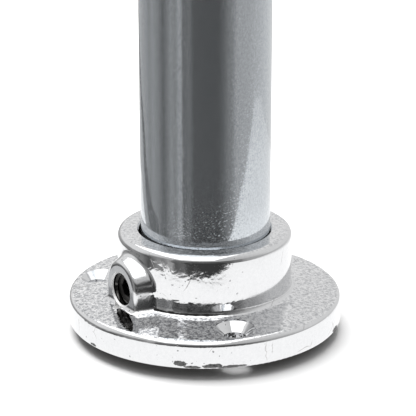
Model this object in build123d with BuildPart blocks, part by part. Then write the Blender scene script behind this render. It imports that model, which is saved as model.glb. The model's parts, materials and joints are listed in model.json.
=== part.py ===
"""Flag pole stand: a chromed cast floor flange with a clamped upright tube that takes the pole.

Millimetres. The origin is on the floor under the middle of the flange, +Z is up and -Y is the front.
"""
import os
from math import cos, radians, sin, tan

from build123d import *

# Flange casting
flange_radius = 34.0
rim_bottom = 2.9            # the rim hangs this far above the floor
rim_wall_top = 8.4          # where the straight side of the rim ends
rim_top_round = 1.5
rim_bottom_round = 0.6
top_slope = 6.8             # degrees that the top face rises towards the collar
casting_round = 1.4         # inside corners left by the mould

# Collar and its socket
collar_radius = 21.6
collar_top = 26.3
collar_round = 1.8
socket_floor = 7.0
tube_radius = 16.0
socket_clearance = 0.35
socket_chamfer = 0.4

# Clamp boss on the side of the collar
boss_angle = -146.0         # degrees round from +X, to the left of the front
boss_height = 15.0          # of the thread's axis
boss_arch_height = 15.5     # the outline is centred a little above the thread
boss_half_width = 6.3
boss_face = 24.6            # distance of its flat end from the flange axis
boss_root = 19.8            # distance at which the boss has widened to its root size
boss_root_arch_height = 15.6
boss_root_half_width = 8.6
boss_foot = 6.0             # the boss runs down into the flange to here
boss_round = 1.3
thread_radius = 4.0
thread_chamfer = 0.4

# Screw holes
hole_circle_radius = 28.0
first_hole_angle = -75.0
hole_count = 3
hole_radius = 2.7
countersink_radius = 4.8
countersink_angle = 90.0

# Rubber foot under the casting
foot_radius = 22.5
foot_recess = 1.2
foot_round = 0.6
foot_groove_radii = (16.0, 11.0, 6.0)
foot_groove_width = 1.4
foot_groove_depth = 0.7

# Upright tube
tube_wall = 1.5
tube_top = 152.0
tube_edge = 0.35
tube_shift = 0.25           # the clamp screw pushes the tube across its socket by this much

# Clamp screw and its thrust tip
screw_radius = 3.85
screw_length = 6.0
screw_chamfer = 0.5
socket_across_flats = 4.0
socket_depth = 3.2
tip_radius = 2.8
tip_thickness = 1.2
tip_gap = 0.05
spigot_radius = 1.3
spigot_length = 1.4
spigot_clearance = 0.1

touch = 0.01                # how near an edge or a point has to be to count as there

rise = tan(radians(top_slope))
bore_radius = tube_radius + socket_clearance
edge_x = flange_radius - rim_top_round * (1 - sin(radians(top_slope)))
edge_z = rim_wall_top + rim_top_round * cos(radians(top_slope))
hole_z = edge_z + (edge_x - hole_circle_radius) * rise
push = Vector(-cos(radians(boss_angle)), -sin(radians(boss_angle)))
tube_centre = push * tube_shift
tip_face = tube_radius - tube_shift + tip_gap
screw_back = tip_face + tip_thickness + tip_gap


def boss_plane(distance, height=boss_height):
    """Plane square to the boss axis, at this distance from the flange axis, facing outwards."""
    outward = push * -1
    across = Vector(-outward.Y, outward.X)
    return Plane(origin=outward * distance + Vector(0, 0, height), x_dir=across, z_dir=outward)


def draw_arch(half_width, height):
    """A round-topped outline whose round is centred this high and whose sides reach boss_foot."""
    Circle(half_width)
    with Locations((0, (boss_foot - height) / 2)):
        Rectangle(2 * half_width, height - boss_foot)


def circles_at_height(part, height):
    """The part's round edges at this height, smallest first."""
    circles = part.edges().filter_by(GeomType.CIRCLE)
    return circles.filter_by_position(Axis.Z, height - touch, height + touch).sort_by(SortBy.RADIUS)


def is_inside_corner(edge):
    """True where two faces meet in a valley. The revolved faces have their seams on +X."""
    on_seam = abs(edge.center().Y) < touch and edge.center().X > 0
    return not on_seam and edge.is_interior


os.makedirs("parts", exist_ok=True)

with BuildPart() as base_flange:
    with BuildSketch(Plane.XZ):
        with BuildLine():
            floor_line = Line((0, rim_bottom), (flange_radius, rim_bottom))
            rim_wall = Line(floor_line @ 1, (flange_radius, rim_wall_top))
            rim_edge = TangentArc(rim_wall @ 1, (edge_x, edge_z), tangent=rim_wall % 1)
            top_face = Line(rim_edge @ 1, (collar_radius, edge_z + (edge_x - collar_radius) * rise))
            collar_wall = Line(top_face @ 1, (collar_radius, collar_top))
            collar_face = Line(collar_wall @ 1, (0, collar_top))
            Line(collar_face @ 1, floor_line @ 0)
        make_face()
    revolve(axis=Axis.Z)
    fillet(circles_at_height(base_flange, collar_top), collar_round)

    with BuildSketch(boss_plane(boss_face, boss_arch_height)):
        draw_arch(boss_half_width, boss_arch_height)
    with BuildSketch(boss_plane(boss_root, boss_root_arch_height)):
        draw_arch(boss_root_half_width, boss_root_arch_height)
    loft()
    boss_end = base_flange.faces().filter_by(boss_plane(boss_face)).sort_by(Axis.Z)[0]
    fillet(boss_end.edges().sort_by(Axis.Z)[1:], boss_round)
    inside_corners = base_flange.edges().filter_by(is_inside_corner)
    wall_corners = inside_corners.filter_by_position(Axis.Z, edge_z + touch, collar_top - collar_round)
    fillet(wall_corners, casting_round)

    with BuildSketch(Plane.XY.offset(socket_floor)):
        Circle(bore_radius)
    extrude(amount=collar_top, mode=Mode.SUBTRACT)
    chamfer(circles_at_height(base_flange, collar_top)[0], socket_chamfer)

    with Locations(boss_plane(boss_face)):
        CounterSinkHole(thread_radius, thread_radius + thread_chamfer, depth=boss_face)

    with Locations(Plane.XY.offset(hole_z)):
        with PolarLocations(hole_circle_radius, hole_count, start_angle=first_hole_angle):
            CounterSinkHole(hole_radius, countersink_radius, counter_sink_angle=countersink_angle)

    fillet(circles_at_height(base_flange, rim_bottom)[-1], rim_bottom_round)
    with BuildSketch(Plane.XY.offset(rim_bottom)):
        Circle(foot_radius)
    extrude(amount=foot_recess, mode=Mode.SUBTRACT)

with BuildPart() as foot_pad:
    with BuildSketch():
        Circle(foot_radius)
    extrude(amount=rim_bottom + foot_recess)
    fillet(foot_pad.edges().group_by(Axis.Z)[0], foot_round)
    with BuildSketch():
        for radius in foot_groove_radii:
            Circle(radius + foot_groove_width / 2)
            Circle(radius - foot_groove_width / 2, mode=Mode.SUBTRACT)
    extrude(amount=foot_groove_depth, mode=Mode.SUBTRACT)

with BuildPart() as post_tube:
    with BuildSketch(Plane(origin=tube_centre + Vector(0, 0, socket_floor))):
        Circle(tube_radius)
        Circle(tube_radius - tube_wall, mode=Mode.SUBTRACT)
    extrude(amount=tube_top - socket_floor)
    chamfer(post_tube.edges().filter_by(GeomType.CIRCLE), tube_edge)

with BuildPart() as set_screw:
    with BuildSketch(boss_plane(screw_back)):
        Circle(screw_radius)
    extrude(amount=screw_length)
    chamfer(set_screw.edges().filter_by(GeomType.CIRCLE), screw_chamfer)
    with BuildSketch(boss_plane(screw_back + screw_length)):
        RegularPolygon(socket_across_flats / 2, 6, major_radius=False)
    extrude(amount=-socket_depth, mode=Mode.SUBTRACT)
    with BuildSketch(boss_plane(screw_back)):
        Circle(spigot_radius + spigot_clearance)
    extrude(amount=spigot_length + spigot_clearance, mode=Mode.SUBTRACT)

with BuildPart() as thrust_tip:
    with BuildSketch(boss_plane(tip_face)):
        Circle(tip_radius)
    extrude(amount=tip_thickness)
    with BuildSketch(boss_plane(tip_face)):
        Circle(spigot_radius)
    extrude(amount=tip_thickness + spigot_length)

base_flange.part.label = "base_flange"
foot_pad.part.label = "foot_pad"
post_tube.part.label = "post_tube"
set_screw.part.label = "set_screw"
thrust_tip.part.label = "thrust_tip"
for piece in (base_flange, foot_pad, post_tube, set_screw, thrust_tip):
    export_step(piece.part, f"parts/{piece.part.label}.step")
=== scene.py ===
"""The flag pole stand's looks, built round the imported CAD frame.

Blender 4.5, metres. +Z is up and -Y is the front.
"""
import json
import math

import bmesh
import bpy
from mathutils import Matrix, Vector


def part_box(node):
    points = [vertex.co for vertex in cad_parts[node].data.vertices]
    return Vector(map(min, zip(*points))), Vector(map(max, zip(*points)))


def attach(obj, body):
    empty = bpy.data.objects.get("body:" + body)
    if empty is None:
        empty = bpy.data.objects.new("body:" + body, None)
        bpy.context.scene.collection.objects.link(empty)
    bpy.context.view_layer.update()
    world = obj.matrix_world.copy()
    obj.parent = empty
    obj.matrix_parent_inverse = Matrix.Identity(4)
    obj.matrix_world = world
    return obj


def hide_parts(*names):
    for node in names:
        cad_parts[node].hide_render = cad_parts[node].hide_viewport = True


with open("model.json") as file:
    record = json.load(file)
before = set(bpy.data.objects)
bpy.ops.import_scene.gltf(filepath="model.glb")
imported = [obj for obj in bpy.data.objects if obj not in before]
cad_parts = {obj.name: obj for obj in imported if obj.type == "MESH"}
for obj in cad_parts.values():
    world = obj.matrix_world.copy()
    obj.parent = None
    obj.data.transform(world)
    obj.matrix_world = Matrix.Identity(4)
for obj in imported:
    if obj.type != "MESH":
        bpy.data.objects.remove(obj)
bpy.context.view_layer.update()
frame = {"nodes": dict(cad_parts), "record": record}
scene = bpy.context.scene
MM = 0.001


# Camera

CAMERA_ELEVATION = math.radians(19.54)
CAMERA_DISTANCE = 0.475
CAMERA_SHARE = 1925.4 / 416     # focal length over image width
CAMERA_TARGET = Vector((0.83 * MM, 0, 31.15 * MM))


def add_camera():
    data = bpy.data.cameras.new("camera")
    data.sensor_width = 36
    data.lens = CAMERA_SHARE * data.sensor_width
    data.clip_start = 0.01
    data.clip_end = 50
    camera = bpy.data.objects.new("camera", data)
    scene.collection.objects.link(camera)
    back = Vector((0, -math.cos(CAMERA_ELEVATION), math.sin(CAMERA_ELEVATION)))
    camera.location = CAMERA_TARGET + back * CAMERA_DISTANCE
    camera.rotation_euler = back.to_track_quat("Z", "Y").to_euler()
    scene.camera = camera


# Node helpers

class Shader:
    """A material's or the world's node tree, built by short calls."""

    def __init__(self, tree):
        self.tree = tree
        self.tree.nodes.clear()

    def add(self, kind, inputs=None, **settings):
        node = self.tree.nodes.new(kind)
        for name, value in settings.items():
            setattr(node, name, value)
        for name, value in (inputs or {}).items():
            self.feed(node, name, value)
        return node

    def feed(self, node, name, value):
        if isinstance(value, bpy.types.NodeSocket):
            self.tree.links.new(value, node.inputs[name])
        else:
            node.inputs[name].default_value = value

    def math(self, operation, a, b=0.0, c=0.0):
        node = self.add("ShaderNodeMath", operation=operation)
        for index, value in enumerate((a, b, c)):
            self.feed(node, index, value)
        return node.outputs[0]

    def product(self, first, *others):
        for value in others:
            first = self.math("MULTIPLY", first, value)
        return first

    def most(self, first, *others):
        """The highest of the values."""
        for value in others:
            first = self.math("MAXIMUM", first, value)
        return first

    def sum_of_squares(self, a, b):
        return self.math("ADD", self.math("POWER", a, 2.0), self.math("POWER", b, 2.0))

    def hypotenuse(self, a, b):
        return self.math("SQRT", self.sum_of_squares(a, b))

    def split(self, vector):
        """The vector's x, y and z."""
        return tuple(self.add("ShaderNodeSeparateXYZ", {"Vector": vector}).outputs)

    def length(self, vector):
        return self.add("ShaderNodeVectorMath", {0: vector}, operation="LENGTH").outputs["Value"]

    def dot(self, vector, direction):
        node = self.add("ShaderNodeVectorMath", {0: vector, 1: direction}, operation="DOT_PRODUCT")
        return node.outputs["Value"]

    def turn_from_front(self, vector):
        """Radians round the stand's axis from the front, positive to the right."""
        x, y = self.split(vector)[:2]
        return self.math("ARCTAN2", x, self.product(y, -1.0))

    def ramp(self, value, stops):
        """stops are (position, grey or colour) pairs."""
        node = self.add("ShaderNodeValToRGB", {"Fac": value})
        while len(node.color_ramp.elements) < len(stops):
            node.color_ramp.elements.new(1.0)
        for element, (position, colour) in zip(node.color_ramp.elements, stops):
            element.position = position
            grey = isinstance(colour, (int, float))
            element.color = (colour, colour, colour, 1) if grey else (*colour, 1)
        return node.outputs["Color"]

    def step(self, value, start, end):
        """0 below start and 1 above end, or the other way round when end is lower, with a smooth change."""
        low, high = sorted((start, end))
        node = self.add("ShaderNodeMapRange", {"Value": value, "From Min": low, "From Max": high})
        node.interpolation_type = "SMOOTHSTEP"
        if end < start:
            self.feed(node, "To Min", 1.0)
            self.feed(node, "To Max", 0.0)
        return node.outputs[0]

    def mix(self, factor, a, b):
        """Mixes two greys or colours."""
        node = self.add("ShaderNodeMix", {"Factor": factor}, data_type="RGBA")
        for index, value in ((6, a), (7, b)):
            if isinstance(value, (int, float)):
                value = (value, value, value, 1)
            elif isinstance(value, tuple):
                value = (*value, 1)
            self.feed(node, index, value)
        return node.outputs[2]

    def place(self):
        """The point on the piece, in metres, which stays put when the piece moves."""
        return self.add("ShaderNodeTexCoord").outputs["Object"]

    def stretch(self, point, scale):
        return self.add("ShaderNodeMapping", {"Vector": point, "Scale": scale}).outputs[0]

    def noise(self, point, size, detail=2.0, roughness=0.5, distortion=0.0):
        """Noise from 0 to 1 whose lumps are this many millimetres across."""
        node = self.add("ShaderNodeTexNoise", {
            "Vector": point, "Scale": 1 / (size * MM), "Detail": detail, "Roughness": roughness,
            "Distortion": distortion})
        return node.outputs[0]

    def bump(self, height):
        """Normals for a height in millimetres."""
        return self.add("ShaderNodeBump", {"Height": height, "Distance": MM, "Strength": 1.0}).outputs[0]

    def finish(self, surface):
        out = self.add("ShaderNodeOutputMaterial")
        self.feed(out, "Surface", surface.outputs[0])


def new_material(name):
    material = bpy.data.materials.new(name)
    material.use_nodes = True
    return material, Shader(material.node_tree)


# Studio

# The floor looks lit up to the first distance from the stand, and evenly white beyond the second.
FLOOR_LIT, FLOOR_WHITE = 0.25, 0.70
FLOOR_RADIUS = 6.0

# The table's edge as the chrome shows it, in millimetres from the stand's axis, and the table's
# brightness near the stand, away from it and far from it.
TABLE_EDGE = [
    (-72, 105), (-75, 60), (-72, 0), (-67, -37), (-52, -60), (-28, -70), (0, -75), (36, -74), (72, -69),
    (110, -65), (172, -33), (228, 8), (215, 70), (140, 118), (60, 140), (0, 148), (-42, 134)]
TABLE_GLOW = (1.28, 1.0, 0.84)

# The dark gap beyond the table's left edge.
DARK_STRIP = [
    (-80, -10), (-86, 27), (-116, 128), (-86, 337), (-116, 337), (-142, 122), (-108, 25), (-100, -10)]
DARK_STRIP_GLOW = (0.13, 0.13, 0.13)

SHEET_HEIGHT = -0.2 * MM
SHEET_NEAR = (0.07, 0.12)       # distances between which a sheet's brightness changes
SHEET_FAR = (0.12, 0.22)

# Brightness of the room round the table, by degrees from the front: dark curtains and paler gaps.
ROOM = [
    (-180, 0.60), (-150, 0.50), (-138, 0.42), (-125, 0.38), (-114, 0.28), (-104, 0.35), (-90, 0.26),
    (-78, 0.10), (-70, 0.20), (-62, 0.32), (-53, 0.25), (-46, 0.44), (-42, 0.40), (-39, 0.12),
    (-28, 0.17), (-20, 0.06), (22, 0.05), (33, 0.12), (40, 0.22), (46, 0.24), (56, 0.46), (80, 0.50),
    (105, 0.62), (135, 0.78), (180, 0.82)]
LOW_HAZE = 0.22                 # least brightness of the strip of room just above the table's level
UPPER_FRONT = 0.60              # brightness of the walls above the curtains
UPPER_BACK_LEFT, UPPER_BACK_RIGHT = 0.93, 0.84
DAYLIGHT_LOW, DAYLIGHT_HIGH = 0.10, 0.75    # what the room gives as light, near the floor and overhead

# A bright panel overhead, by the slopes sideways and forwards at which its edges are seen.
PANEL_LEFT, PANEL_RIGHT, PANEL_FRONT, PANEL_BACK = -0.78, 0.27, -1.1, 0.95
PANEL_SOFTNESS = 0.06
PANEL_BRIGHTNESS = 2.0

SOFTBOX_PLACE = (-0.15, 0.3, 1.0)
SOFTBOX_SIZE = (0.9, 1.0)
SOFTBOX_POWER = 14.0
KEY_DIRECTION = Vector((-0.46, 0.33, 0.82))
KEY_DISTANCE = 1.2
KEY_SIZE = (0.32, 0.32)
KEY_POWER = 3.0


def link_mesh(name, bm):
    mesh = bpy.data.meshes.new(name)
    bm.normal_update()
    bm.to_mesh(mesh)
    bm.free()
    piece = bpy.data.objects.new(name, mesh)
    scene.collection.objects.link(piece)
    return piece


def add_floor():
    """White paper. Far from the stand, where the lights don't reach, the camera sees it evenly white."""
    bm = bmesh.new()
    bmesh.ops.create_circle(bm, cap_ends=True, segments=96, radius=FLOOR_RADIUS)
    floor = link_mesh("floor", bm)
    material, shader = new_material("floor_paper")
    paper = shader.add("ShaderNodeBsdfDiffuse", {"Color": (0.92, 0.92, 0.92, 1)})
    far = shader.step(shader.length(shader.place()), FLOOR_LIT, FLOOR_WHITE)
    seen = shader.add("ShaderNodeLightPath").outputs["Is Camera Ray"]
    white = shader.add("ShaderNodeEmission", {"Color": (1, 1, 1, 1)})
    shader.finish(shader.add("ShaderNodeMixShader", {
        0: shader.product(far, seen), 1: paper.outputs[0], 2: white.outputs[0]}))
    floor.data.materials.append(material)
    floor.visible_glossy = False


def add_glowing_sheet(name, outline, near, away, far):
    """A sheet at the table's height that only reflections show, and its brightness near the stand,
    away from it and far from it."""
    bm = bmesh.new()
    bm.faces.new([bm.verts.new((x * MM, y * MM, SHEET_HEIGHT)) for x, y in outline])
    sheet = link_mesh(name, bm)
    material, shader = new_material(name + "_glow")
    distance = shader.length(shader.place())
    glow = shader.mix(shader.step(distance, *SHEET_NEAR), near, away)
    glow = shader.mix(shader.step(distance, *SHEET_FAR), glow, far)
    shader.finish(shader.add("ShaderNodeEmission", {"Color": glow}))
    sheet.data.materials.append(material)
    for kind in ("camera", "diffuse", "transmission", "shadow"):
        setattr(sheet, f"visible_{kind}", False)


def room_brightness(shader, direction):
    """The curtains round the table, with haze just above its level."""
    z = shader.split(direction)[2]
    turn = shader.math("MULTIPLY_ADD", shader.turn_from_front(direction), 1 / math.tau, 0.5)
    curtains = shader.ramp(turn, [(degrees / 360 + 0.5, grey) for degrees, grey in ROOM])
    haze = shader.product(shader.step(z, 0.03, 0.07), shader.step(z, 0.17, 0.13), LOW_HAZE)
    return shader.most(curtains, haze)


def upper_brightness(shader, direction):
    """The walls above the curtains, which are paler behind the stand."""
    x, y = shader.split(direction)[:2]
    back = shader.mix(shader.step(x, -0.2, 0.2), UPPER_BACK_LEFT, UPPER_BACK_RIGHT)
    return shader.mix(shader.step(y, -0.7, 0.2), UPPER_FRONT, back)


def panel_mask(shader, direction):
    """1 in the directions of the bright panel overhead."""
    x, y, z = shader.split(direction)
    upward = shader.most(z, 0.01)       # never 0, so that the divisions below hold
    sideways = shader.math("DIVIDE", x, upward)
    forwards = shader.math("DIVIDE", y, upward)
    return shader.product(
        shader.step(sideways, PANEL_LEFT - PANEL_SOFTNESS, PANEL_LEFT),
        shader.step(sideways, PANEL_RIGHT + PANEL_SOFTNESS, PANEL_RIGHT),
        shader.step(forwards, PANEL_FRONT - PANEL_SOFTNESS, PANEL_FRONT),
        shader.step(forwards, PANEL_BACK + PANEL_SOFTNESS, PANEL_BACK))


def add_world():
    """Reflections see the whole studio. Everything else gets plain soft light that grows with height."""
    world = bpy.data.worlds.new("studio")
    world.use_nodes = True
    scene.world = world
    shader = Shader(world.node_tree)
    direction = shader.add("ShaderNodeTexCoord").outputs["Generated"]
    y, z = shader.split(direction)[1:]
    behind = shader.step(y, -0.5, 0.1)
    above = shader.mix(behind, shader.step(z, 0.28, 0.46), shader.step(z, 0.04, 0.22))
    studio = shader.mix(above, room_brightness(shader, direction), upper_brightness(shader, direction))
    studio = shader.mix(panel_mask(shader, direction), studio, PANEL_BRIGHTNESS)
    daylight = shader.mix(shader.step(z, 0.35, 0.8), DAYLIGHT_LOW, DAYLIGHT_HIGH)
    reflected = shader.add("ShaderNodeLightPath").outputs["Is Glossy Ray"]
    background = shader.add("ShaderNodeBackground", {"Color": shader.mix(reflected, daylight, studio)})
    out = shader.add("ShaderNodeOutputWorld")
    shader.feed(out, "Surface", background.outputs[0])


def add_area_light(name, location, size, power):
    data = bpy.data.lights.new(name, "AREA")
    data.shape = "RECTANGLE"
    data.size, data.size_y = size
    data.energy = power
    light = bpy.data.objects.new(name, data)
    light.location = location
    light.visible_camera = False
    light.visible_glossy = False
    scene.collection.objects.link(light)
    return light


def add_lights():
    add_area_light("softbox", SOFTBOX_PLACE, SOFTBOX_SIZE, SOFTBOX_POWER)
    key = add_area_light("key", KEY_DIRECTION * KEY_DISTANCE, KEY_SIZE, KEY_POWER)
    key.rotation_euler = KEY_DIRECTION.to_track_quat("Z", "Y").to_euler()


add_camera()
add_floor()
add_glowing_sheet("table_reflection", TABLE_EDGE, *TABLE_GLOW)
add_glowing_sheet("gap_reflection", DARK_STRIP, *DARK_STRIP_GLOW)
add_world()
add_lights()
scene.view_settings.view_transform = "Standard"


# The boss and its axis, which the clamp screw turns on

travel = next(joint for joint in frame["record"]["behaviour"]["joints"] if joint["name"] == "screw_travel")
OUTWARD = Vector(travel["axis"]).normalized()
ACROSS = Vector((-OUTWARD.y, OUTWARD.x, 0))
UPWARD = OUTWARD.cross(ACROSS)
AXIS_HEIGHT = sum(corner.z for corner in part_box("set_screw")) / 2

BOSS_FACE = 24.6 * MM           # distance of its flat end from the stand's axis
BORE_RADIUS = 4.0 * MM
BORE_MOUTH = 4.4 * MM           # radius of the bore's chamfer where it meets the flat end
CHAMFER_START = 24.2 * MM       # distance at which that chamfer starts


# Materials

# Dark spots on the rim: worn-through plating, which at the front is also a painted reflection of the
# shadow in the gap beneath. Degrees from the front, height in millimetres, half-width in degrees and
# half-height in millimetres.
WORN_AND_REFLECTED_SHADE_SPOTS = [
    (-9.6, 4.3, 3.0, 0.75), (-4.6, 3.5, 3.4, 0.42), (3.2, 3.8, 4.2, 0.62), (10.4, 3.4, 6.0, 0.42),
    (-52, 3.6, 2.0, 0.35), (71, 3.7, 3.4, 0.55), (118, 3.5, 5.0, 0.50), (-118, 3.6, 4.2, 0.60),
    (-150, 3.4, 3.0, 0.40), (166, 4.0, 3.2, 0.70)]

# Fine cracks that run up the rim: degrees from the front, and the heights of both ends in millimetres.
HAIR_CRACKS = [(25.5, 3.4, 9.0), (28.0, 5.0, 8.4), (-64.0, 4.0, 8.0), (140.0, 3.4, 8.8)]

# The corner at the foot of the collar, painted dark as shade in the crease, with dark polish left there.
CORNER_RADIUS = 21.95 * MM
CORNER_HEIGHT = 11.75 * MM

# Marks laid over the cast plating, in this order: which mask, how strongly, and the colour.
MARKS = [
    # painted reflection: dark specks where the flange's front mirrors the collar's dark side
    ("collar_reflection_specks", 0.75, (0.16, 0.16, 0.17)),
    ("pits", 0.7, (0.12, 0.12, 0.125)),
    ("lines", 0.5, (0.30, 0.29, 0.28)),
    ("rubs", 0.5, (0.40, 0.41, 0.42)),
    ("boss_end", 1.0, (0.36, 0.365, 0.375)),
    # painted shade inside the bore and its thread
    ("bore", 1.0, (0.09, 0.088, 0.085)),
    # painted highlight: the chamfer round the bore's mouth, made bright
    ("bore_chamfer_highlight", 1.0, (0.95, 0.95, 0.95)),
    # painted shade in the crease at the collar's foot, with dark polish left there
    ("shade_and_polish", 1.0, (0.03, 0.03, 0.03))]

# What the marks add to the surface's height in millimetres, and to its roughness.
MARK_HEIGHTS = [("pits", -0.02), ("lines", -0.006), ("worn_and_reflected_shade", -0.05), ("worn_lumps", 0.09)]
MARK_ROUGHNESS = [("boss_sides", 0.07), ("bore_chamfer_highlight", 0.45), ("dull", 0.5)]


def worn_and_reflected_shade_mask(shader, point):
    """1 in the rim's dark spots, with ragged edges: worn-through plating, which at the front is also a
    painted reflection of the shadow in the gap beneath.
    """
    angle = shader.math("DEGREES", shader.turn_from_front(point))
    height = shader.product(shader.split(point)[2], 1 / MM)
    ragged = shader.math("MULTIPLY_ADD", shader.noise(point, 1.5, 5.0, 0.75), 3.4, -1.7)
    mask = 0.0
    for spot_angle, spot_height, half_angle, half_height in WORN_AND_REFLECTED_SHADE_SPOTS:
        across = shader.product(shader.math("SUBTRACT", angle, spot_angle), 1 / half_angle)
        along = shader.product(shader.math("SUBTRACT", height, spot_height), 1 / half_height)
        away = shader.math("ADD", shader.sum_of_squares(across, along), ragged)
        mask = shader.most(mask, shader.step(away, 1.05, 0.85))
    return mask


def scratches(shader, point, size, keep):
    """Hair scratches: 1 along thin broken lines, from cells this many millimetres across."""
    bent = shader.add("ShaderNodeTexNoise", {"Vector": point, "Scale": 1 / (2 * size * MM)})
    moved = shader.add("ShaderNodeVectorMath", {
        0: bent.outputs["Color"], 1: (size * MM,) * 3, 2: point}, operation="MULTIPLY_ADD").outputs[0]
    cells = shader.add("ShaderNodeTexVoronoi", {
        "Vector": moved, "Scale": 1 / (size * MM)}, feature="DISTANCE_TO_EDGE")
    line = shader.step(cells.outputs["Distance"], 0.016, 0.004)
    return shader.product(line, shader.step(shader.noise(point, 0.6 * size, 1.0), keep, keep + 0.06))


def hair_cracks(shader, point):
    """1 along the few fine cracks that run up the rim's plating."""
    angle = shader.math("DEGREES", shader.turn_from_front(point))
    z = shader.split(point)[2]
    wander = shader.math("MULTIPLY_ADD", shader.noise(point, 2.5, 3.0, 0.6), 4.0, -2.0)
    angle = shader.math("ADD", angle, wander)
    mask = 0.0
    for crack_angle, low, high in HAIR_CRACKS:
        away = shader.math("ABSOLUTE", shader.math("SUBTRACT", angle, crack_angle))
        crack = shader.product(
            shader.step(away, 0.22, 0.08),
            shader.step(z, low * MM, (low + 1) * MM),
            shader.step(z, high * MM, (high - 1) * MM))
        mask = shader.most(mask, crack)
    return mask


def boss_masks(shader, point):
    """Masks for the clamp boss: its sides, its flat end, the bore's chamfer, which is painted bright as a
    highlight, and the bore, which is painted dark as shade.
    """
    z = shader.split(point)[2]
    distance = shader.dot(point, OUTWARD)
    away = shader.hypotenuse(shader.dot(point, ACROSS), shader.math("SUBTRACT", z, AXIS_HEIGHT))
    above_flange = shader.step(z, 11.2 * MM, 11.8 * MM)
    return {
        "boss_sides": shader.product(
            shader.step(distance, 20.6 * MM, 21.6 * MM), above_flange,
            shader.step(away, 10.0 * MM, 9.0 * MM)),
        "boss_end": shader.product(
            shader.step(distance, BOSS_FACE - 0.10 * MM, BOSS_FACE - 0.02 * MM), above_flange,
            shader.step(away, BORE_MOUTH - 0.02 * MM, BORE_MOUTH + 0.08 * MM)),
        # painted highlight on the chamfer round the bore's mouth
        "bore_chamfer_highlight": shader.product(
            shader.step(distance, CHAMFER_START - 0.05 * MM, CHAMFER_START),
            shader.step(away, BORE_MOUTH + 0.06 * MM, BORE_MOUTH)),
        # painted shade: the bore's wall and thread, darkened
        "bore": shader.product(
            shader.step(away, BORE_RADIUS + 0.12 * MM, BORE_RADIUS + 0.02 * MM),
            shader.step(distance, 10 * MM, 12 * MM))}


def corner_shade_and_polish(shader, point):
    """1 along the corner at the foot of the collar: painted shade in the crease, with dark polish left
    there.
    """
    x, y, z = shader.split(point)
    outwards = shader.math("SUBTRACT", shader.hypotenuse(x, y), CORNER_RADIUS)
    upwards = shader.math("SUBTRACT", z, CORNER_HEIGHT)
    broken = shader.math("MULTIPLY_ADD", shader.noise(point, 1.6, 3.0, 0.6), 0.5 * MM, -0.2 * MM)
    away = shader.math("ADD", shader.hypotenuse(outwards, upwards), broken)
    return shader.step(away, 0.42 * MM, 0.25 * MM)


def front_reflection_specks(shader, point):
    """1 in the dark specks on the front of the flange, a painted reflection of the collar's mottled dark
    side.
    """
    x, y = shader.split(point)[:2]
    off_middle = shader.math("ABSOLUTE", shader.math("ADD", x, 4 * MM))
    return shader.product(
        shader.step(y, -22 * MM, -24 * MM), shader.step(off_middle, 14 * MM, 8 * MM),
        shader.step(shader.noise(point, 0.9, 3.0, 0.7), 0.50, 0.42))


def cast_masks(shader, point):
    """Where the casting has each kind of mark, from 0 to 1."""
    x, y, z = shader.split(point)
    up = shader.split(shader.add("ShaderNodeNewGeometry").outputs["Normal"])[2]
    leftward = shader.math("MULTIPLY_ADD", y, -0.55, shader.product(x, -1.0))
    rough = shader.step(leftward, -4 * MM, 10 * MM)
    level = shader.step(up, 0.75, 0.95)
    # painted shade: the downward faces under the flange, where the gap is dark
    under = shader.product(shader.step(up, -0.6, -0.9), shader.step(z, 4.5 * MM, 3.5 * MM))
    worn_and_reflected_shade = worn_and_reflected_shade_mask(shader, point)
    # painted shade in the corner at the collar's foot, with dark polish left there
    shade_and_polish = shader.product(corner_shade_and_polish(shader, point), rough)
    masks = boss_masks(shader, point)
    masks.update({
        "rough": rough, "level": level, "under": under, "worn_and_reflected_shade": worn_and_reflected_shade, "shade_and_polish": shade_and_polish,
        "low": shader.step(z, 20 * MM, 15 * MM),
        "lines": shader.most(scratches(shader, point, 9.0, 0.60), hair_cracks(shader, point)),
        "rubs": shader.product(scratches(shader, point, 3.5, 0.56), level),
        "pits": shader.product(shader.step(shader.noise(point, 0.6, 0.0), 0.2, 0.15), rough),
        # dark specks painted as the collar's reflection on the flange's front
        "collar_reflection_specks": shader.product(front_reflection_specks(shader, point), level),
        "worn_lumps": shader.product(worn_and_reflected_shade, shader.noise(point, 0.4)),
        "dull": shader.most(worn_and_reflected_shade, under, shade_and_polish)})
    return masks


def cast_height(shader, point, masks):
    """The surface's height in millimetres: waves and orange peel, strongest at the left and front, and
    the marks."""
    wave_size = shader.math("MULTIPLY_ADD", masks["rough"], 0.036, 0.008)
    waves = shader.product(shader.noise(point, 3.6, 2.0, 0.55, 0.6), wave_size)
    peel_size = shader.math("MULTIPLY_ADD", masks["rough"], 0.004, 0.002)
    peel_size = shader.math("MULTIPLY_ADD", masks["level"], 0.007, peel_size)
    peel = shader.product(shader.noise(point, 0.75, 2.0, 0.6), peel_size)
    height = shader.math("ADD", waves, peel)
    for mark, depth in MARK_HEIGHTS:
        height = shader.math("MULTIPLY_ADD", masks[mark], depth, height)
    return height


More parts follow.
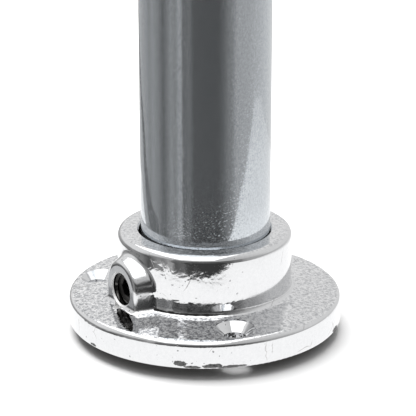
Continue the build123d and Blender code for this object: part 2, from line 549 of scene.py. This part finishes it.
def cast_colour(shader, point, masks):
    """Even plating on upright faces, mottled plating on level ones, the marks, and dark bare metal in the
    rim's spots, which at the front is also a painted reflection of the gap's shadow."""
    speckle = shader.noise(point, 0.8, 4.0, 0.8)
    even = shader.ramp(speckle, [(0.25, (0.675, 0.68, 0.69)), (0.75, (0.745, 0.748, 0.755))])
    mottled = shader.ramp(speckle, [
        (0.38, (0.26, 0.27, 0.29)), (0.50, (0.69, 0.695, 0.705)), (0.60, (0.92, 0.92, 0.92))])
    low_mottling = shader.math("MULTIPLY_ADD", masks["low"], 0.25, 0.4)
    mottling = shader.product(masks["low"], masks["rough"])
    mottling = shader.math("MULTIPLY_ADD", mottling, 0.35, low_mottling)
    colour = shader.mix(shader.product(masks["level"], mottling), even, mottled)
    for mark, strength, tone in MARKS:
        colour = shader.mix(shader.product(masks[mark], strength), colour, tone)
    # dark bare metal in the rim's spots, at the front also a painted reflection of the gap's shadow
    bare_and_reflected_shade = shader.ramp(speckle, [(0.35, 0.05), (0.65, 0.24)])
    colour = shader.mix(masks["worn_and_reflected_shade"], colour, bare_and_reflected_shade)
    # the underside is painted near black as shade
    return shader.mix(masks["under"], colour, (0.035, 0.034, 0.033))


def cast_chrome():
    """Bright plating over a casting that was only roughly polished: wavy, mottled, and worn at the rim,
    where the dark spots at the front are also a painted reflection of the gap's shadow.
    The underside is left rough as cast and painted near black as shade."""
    material, shader = new_material("cast_chrome")
    point = shader.place()
    masks = cast_masks(shader, point)
    cloudy = shader.noise(point, 6.0, 3.0, 0.6)
    roughness = shader.math("MULTIPLY_ADD", shader.step(cloudy, 0.35, 0.7), 0.08, 0.03)
    for mark, added in MARK_ROUGHNESS:
        roughness = shader.math("MULTIPLY_ADD", masks[mark], added, roughness)
    surface = shader.add("ShaderNodeBsdfPrincipled", {
        "Base Color": cast_colour(shader, point, masks), "Metallic": 1.0, "Roughness": roughness,
        "Normal": shader.bump(cast_height(shader, point, masks))})
    shader.finish(surface)
    return material


def tube_chrome():
    """Drawn tube: bluish plating with fine lengthwise drawing lines and small pimples."""
    material, shader = new_material("tube_chrome")
    point = shader.place()
    along = shader.stretch(point, (1, 1, 0.03))
    lines = shader.product(shader.noise(along, 0.5, 3.0, 0.6), 0.0030)
    broad = shader.product(shader.noise(along, 5.0, 1.0), 0.02)
    grain = shader.product(shader.noise(point, 0.4, 2.0, 0.7), 0.0026)
    pimples = shader.step(shader.noise(point, 0.45, 1.0, 0.5), 0.56, 0.74)
    height = shader.math("ADD", shader.math("ADD", lines, broad), grain)
    height = shader.math("MULTIPLY_ADD", pimples, 0.012, height)
    speckle = shader.noise(shader.stretch(point, (1, 1, 0.5)), 0.35, 3.0, 0.75)
    colour = shader.ramp(speckle, [
        (0.28, (0.51, 0.54, 0.57)), (0.50, (0.60, 0.632, 0.662)), (0.72, (0.70, 0.73, 0.76))])
    roughness = shader.math("MULTIPLY_ADD", shader.noise(along, 1.5, 2.0), 0.06, 0.02)
    surface = shader.add("ShaderNodeBsdfPrincipled", {
        "Base Color": colour, "Metallic": 0.9, "Roughness": roughness, "Normal": shader.bump(height)})
    shader.finish(surface)
    return material


def foot_rubber():
    """Matt black moulded rubber with a little dust."""
    material, shader = new_material("foot_rubber")
    point = shader.place()
    grain = shader.noise(point, 0.35, 3.0, 0.7)
    dust = shader.step(shader.noise(point, 5.0, 4.0, 0.6), 0.5, 0.8)
    colour = shader.mix(dust, (0.022, 0.022, 0.023), (0.055, 0.053, 0.05))
    roughness = shader.math("MULTIPLY_ADD", dust, 0.2, 0.6)
    surface = shader.add("ShaderNodeBsdfPrincipled", {
        "Base Color": colour, "Roughness": roughness, "Normal": shader.bump(shader.product(grain, 0.02))})
    shader.finish(surface)
    return material


def screw_steel():
    """Blackened steel, rubbed bright in places by the key."""
    material, shader = new_material("screw_steel")
    point = shader.place()
    grain = shader.noise(point, 0.3, 3.0, 0.6)
    rubbed = shader.step(shader.noise(point, 1.2, 3.0, 0.65), 0.58, 0.72)
    colour = shader.mix(rubbed, (0.045, 0.043, 0.042), (0.20, 0.19, 0.185))
    roughness = shader.math("MULTIPLY_ADD", grain, 0.3, 0.22)
    surface = shader.add("ShaderNodeBsdfPrincipled", {
        "Base Color": colour, "Metallic": 0.9, "Roughness": roughness,
        "Normal": shader.bump(shader.product(grain, 0.008))})
    shader.finish(surface)
    return material


def tip_brass():
    """Turned brass with fine tool lines."""
    material, shader = new_material("tip_brass")
    point = shader.place()
    tone = shader.noise(point, 1.0, 3.0, 0.6)
    colour = shader.ramp(tone, [(0.3, (0.55, 0.38, 0.16)), (0.7, (0.76, 0.57, 0.28))])
    roughness = shader.math("MULTIPLY_ADD", tone, 0.2, 0.18)
    surface = shader.add("ShaderNodeBsdfPrincipled", {
        "Base Color": colour, "Metallic": 1.0, "Roughness": roughness,
        "Normal": shader.bump(shader.product(shader.noise(point, 0.25), 0.006))})
    shader.finish(surface)
    return material


def paint(node, material):
    mesh = frame["nodes"][node].data
    mesh.materials.clear()
    mesh.materials.append(material)


cast = cast_chrome()
steel = screw_steel()
paint("base_flange", cast)
paint("post_tube", tube_chrome())
paint("foot_pad", foot_rubber())
paint("set_screw", steel)
paint("thrust_tip", tip_brass())


# Clamp screw and the thread it turns in

ROUND_STEPS = 96                # a multiple of 12, so that the hexagon's corners fall on a step
THREAD_PITCH = 1.25 * MM
THREAD_STEEPNESS = 2.6          # rise of a flank over one whole pitch, where the thread's depth is 1
THREAD_ROOT = 0.15              # how far the flanks' slopes would run on below the flat root

SCREW_BACK = 17.05 * MM         # distances along the boss axis from the stand's axis
SCREW_FRONT = 23.05 * MM
SCREW_STEPS = 80                # along the screw's thread
SCREW_CREST = 3.85 * MM
SCREW_ROOT = 3.30 * MM
SCREW_CHAMFER = 0.55 * MM
HEX_ACROSS_FLATS = 4.0 * MM
HEX_DEPTH = 3.2 * MM
HEX_LEAD = 0.25 * MM            # chamfer at the hexagon's mouth
HEX_POINT_RADIUS = 0.3 * MM     # the drilled point below the hexagon's floor
HEX_POINT_DEPTH = 0.8 * MM
SPIGOT_HOLE_RADIUS = 1.4 * MM
SPIGOT_HOLE_DEPTH = 1.5 * MM

BORE_CREST = 3.42 * MM
BORE_THREAD_START = 17.2 * MM
BORE_THREAD_END = 23.5 * MM
BORE_THREAD_SUNK = 0.05 * MM    # how deep the ridge is rooted in the bore's wall
RIDGE_FOOT, RIDGE_TOP = 0.50, 0.09      # half-widths of the ridge as shares of the pitch
RUN_OUT_STEPS = 40              # over which the ridge grows from the wall at each end


def on_boss_axis(angle, radius, distance):
    sideways = ACROSS * math.cos(angle) + UPWARD * math.sin(angle)
    return OUTWARD * distance + sideways * radius + Vector((0, 0, AXIS_HEIGHT))


def thread_height(angle, distance):
    """From 0 at the root to 1 at the crest of a right-hand thread with flat crests and roots."""
    turn = (distance / THREAD_PITCH - angle / math.tau) % 1.0
    height = THREAD_STEEPNESS * (0.5 - abs(turn - 0.5)) - THREAD_ROOT
    return min(1.0, max(0.0, height))


def join_rings(bm, rings):
    """Faces between rings of points, closed at both ends by a point in the middle."""
    for ring, following in zip(rings, rings[1:]):
        for i in range(len(ring)):
            j = (i + 1) % len(ring)
            bm.faces.new((ring[i], ring[j], following[j], following[i]))
    for ring, flip in ((rings[0], True), (rings[-1], False)):
        middle = bm.verts.new(sum((vert.co for vert in ring), Vector()) / len(ring))
        for i in range(len(ring)):
            corners = (ring[i], ring[(i + 1) % len(ring)], middle)
            bm.faces.new(corners[::-1] if flip else corners)


def ring_round_boss_axis(bm, outline, distance):
    """A ring whose radius is a number, or worked out from its angle."""
    ring = []
    for i in range(ROUND_STEPS):
        angle = math.tau * i / ROUND_STEPS
        radius = outline(angle) if callable(outline) else outline
        ring.append(bm.verts.new(on_boss_axis(angle, radius, distance)))
    return ring


def hexagon(angle, grow=0.0):
    sector = math.tau / 6
    return (HEX_ACROSS_FLATS / 2 + grow) / math.cos(angle % sector - sector / 2)


def screw_outline(distance):
    """The screw's outside at this distance: its thread, cut down by the chamfer at each end."""
    end = min(distance - SCREW_BACK, SCREW_FRONT - distance)
    limit = SCREW_CREST - max(0.0, SCREW_CHAMFER - end)

    def radius(angle):
        thread = SCREW_ROOT + (SCREW_CREST - SCREW_ROOT) * thread_height(angle, distance)
        return min(thread, limit)
    return radius


def smooth(piece, degrees):
    piece.data.shade_smooth()
    piece.data.set_sharp_from_angle(angle=math.radians(degrees))


def add_clamp_screw():
    """Socket set screw with its thread cut. The CAD screw is the same size with a plain outside."""
    bm = bmesh.new()
    hole_end = SCREW_BACK + SPIGOT_HOLE_DEPTH
    rings = [
        ring_round_boss_axis(bm, SPIGOT_HOLE_RADIUS, hole_end),
        ring_round_boss_axis(bm, SPIGOT_HOLE_RADIUS, SCREW_BACK)]
    for i in range(SCREW_STEPS + 1):
        distance = SCREW_BACK + (SCREW_FRONT - SCREW_BACK) * i / SCREW_STEPS
        rings.append(ring_round_boss_axis(bm, screw_outline(distance), distance))
    hex_floor = SCREW_FRONT - HEX_DEPTH
    rings.append(ring_round_boss_axis(bm, lambda angle: hexagon(angle, HEX_LEAD), SCREW_FRONT))
    rings.append(ring_round_boss_axis(bm, hexagon, SCREW_FRONT - HEX_LEAD))
    rings.append(ring_round_boss_axis(bm, hexagon, hex_floor))
    rings.append(ring_round_boss_axis(bm, HEX_POINT_RADIUS, hex_floor - HEX_POINT_DEPTH))
    join_rings(bm, rings)
    bmesh.ops.recalc_face_normals(bm, faces=bm.faces)
    screw = link_mesh("clamp_screw", bm)
    screw.data.materials.append(steel)
    smooth(screw, 28)
    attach(screw, "screw")
    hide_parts("set_screw")


def add_bore_thread():
    """The thread in the boss: a ridge that winds along the bore, rooted in its wall and run out at
    each end."""
    bm = bmesh.new()
    length = BORE_THREAD_END - BORE_THREAD_START
    steps = int(length / THREAD_PITCH * ROUND_STEPS)
    foot = BORE_RADIUS + BORE_THREAD_SUNK
    rings = []
    for i in range(steps + 1):
        distance = BORE_THREAD_START + length * i / steps
        angle = math.tau * (distance / THREAD_PITCH)
        grown = min(1.0, i / RUN_OUT_STEPS, (steps - i) / RUN_OUT_STEPS)
        crest = BORE_RADIUS - (BORE_RADIUS - BORE_CREST) * grown
        profile = ((foot, -RIDGE_FOOT), (crest, -RIDGE_TOP), (crest, RIDGE_TOP), (foot, RIDGE_FOOT))
        rings.append([
            bm.verts.new(on_boss_axis(angle, radius, distance + share * THREAD_PITCH))
            for radius, share in profile])
    join_rings(bm, rings)
    bmesh.ops.recalc_face_normals(bm, faces=bm.faces)
    thread = link_mesh("boss_thread", bm)
    thread.data.materials.append(cast)
    smooth(thread, 40)
    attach(thread, "base")


add_clamp_screw()
add_bore_thread()
